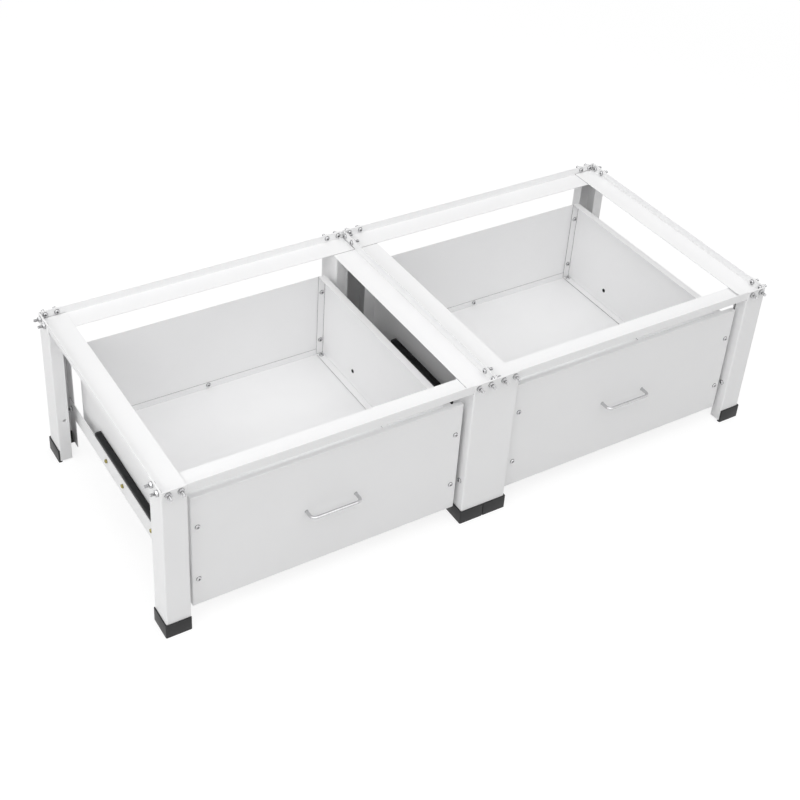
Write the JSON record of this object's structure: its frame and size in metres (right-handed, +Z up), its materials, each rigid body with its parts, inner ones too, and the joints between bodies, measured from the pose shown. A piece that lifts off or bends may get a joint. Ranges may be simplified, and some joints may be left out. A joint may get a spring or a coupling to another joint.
{
  "type": "laundry pedestal",
  "caption": "Wide open-topped stand of bolted white sheet steel on capped legs that raises laundry machines side by side, with pull-out drawers on telescopic slides below.",
  "frame": {"origin": "on the floor under the centre of the whole outline", "axes": "+X along the width, to the right seen from the front; +Y from front to back; +Z up"},
  "size_m": [1.2866, 0.5666, 0.318],
  "materials": {
    "white_coated_steel": "white powder coat, satin with a faint orange peel",
    "black_plastic": "moulded black plastic, satin",
    "black_slide_steel": "black coated steel, satin",
    "zinc_steel": "bright zinc plated steel",
    "yellow_zinc": "yellow passivated screws",
    "chromed_steel": "polished chromed steel",
    "bearing_steel": "polished bearing balls in bright cage strips"
  },
  "bodies": {
    "frame": {"leg_front_left": "white_coated_steel", "leg_front_middle": "white_coated_steel", "leg_front_right": "white_coated_steel", "foot_front_left": "black_plastic", "foot_front_middle_left": "black_plastic", "foot_front_middle_right": "black_plastic", "foot_front_right": "black_plastic", "rail_front_left": "white_coated_steel", "rail_front_right": "white_coated_steel", "leg_back_left": "white_coated_steel", "leg_back_middle": "white_coated_steel", "leg_back_right": "white_coated_steel", "foot_back_left": "black_plastic", "foot_back_middle_left": "black_plastic", "foot_back_middle_right": "black_plastic", "foot_back_right": "black_plastic", "rail_back_left": "white_coated_steel", "rail_back_right": "white_coated_steel", "rail_side_left": "white_coated_steel", "rail_side_right": "white_coated_steel", "rail_middle_left": "white_coated_steel", "rail_middle_right": "white_coated_steel", "left_bay_left_bar": "white_coated_steel", "left_bay_left_slide_outer": "black_slide_steel", "left_bay_right_bar": "white_coated_steel", "left_bay_right_slide_outer": "black_slide_steel", "right_bay_left_bar": "white_coated_steel", "right_bay_left_slide_outer": "black_slide_steel", "right_bay_right_bar": "white_coated_steel", "right_bay_right_slide_outer": "black_slide_steel", "frame_bolts": "zinc_steel", "frame_nuts": "zinc_steel", "slide_screws": "yellow_zinc"},
    "left_drawer": {"left_drawer_front": "white_coated_steel", "left_drawer_handle": "chromed_steel", "left_drawer_side_left": "white_coated_steel", "left_drawer_side_right": "white_coated_steel", "left_drawer_back": "white_coated_steel", "left_drawer_bottom": "white_coated_steel", "left_drawer_screws": "zinc_steel", "left_bay_left_slide_inner": "black_slide_steel", "left_bay_right_slide_inner": "black_slide_steel"},
    "left_slides": {"left_bay_left_slide_middle": "black_slide_steel", "left_bay_left_slide_balls": "bearing_steel", "left_bay_right_slide_middle": "black_slide_steel", "left_bay_right_slide_balls": "bearing_steel"},
    "right_drawer": {"right_drawer_front": "white_coated_steel", "right_drawer_handle": "chromed_steel", "right_drawer_side_left": "white_coated_steel", "right_drawer_side_right": "white_coated_steel", "right_drawer_back": "white_coated_steel", "right_drawer_bottom": "white_coated_steel", "right_drawer_screws": "zinc_steel", "right_bay_left_slide_inner": "black_slide_steel", "right_bay_right_slide_inner": "black_slide_steel"},
    "right_slides": {"right_bay_left_slide_middle": "black_slide_steel", "right_bay_left_slide_balls": "bearing_steel", "right_bay_right_slide_middle": "black_slide_steel", "right_bay_right_slide_balls": "bearing_steel"}
  },
  "joints": [
    {"name": "left_drawer_slide", "type": "slide", "parent": "frame", "child": "left_drawer", "axis": [0, -1, 0], "range_m": [0, 0.35]},
    {"name": "left_middle_members_slide", "type": "slide", "parent": "frame", "child": "left_slides", "axis": [0, -1, 0], "range_m": [0, 0.175]},
    {"name": "right_drawer_slide", "type": "slide", "parent": "frame", "child": "right_drawer", "axis": [0, -1, 0], "range_m": [0, 0.35]},
    {"name": "right_middle_members_slide", "type": "slide", "parent": "frame", "child": "right_slides", "axis": [0, -1, 0], "range_m": [0, 0.175]}
  ],
  "couplings": [
    {"joint": "left_middle_members_slide", "follows": "left_drawer_slide", "ratio": 0.5},
    {"joint": "right_middle_members_slide", "follows": "right_drawer_slide", "ratio": 0.5}
  ]
}
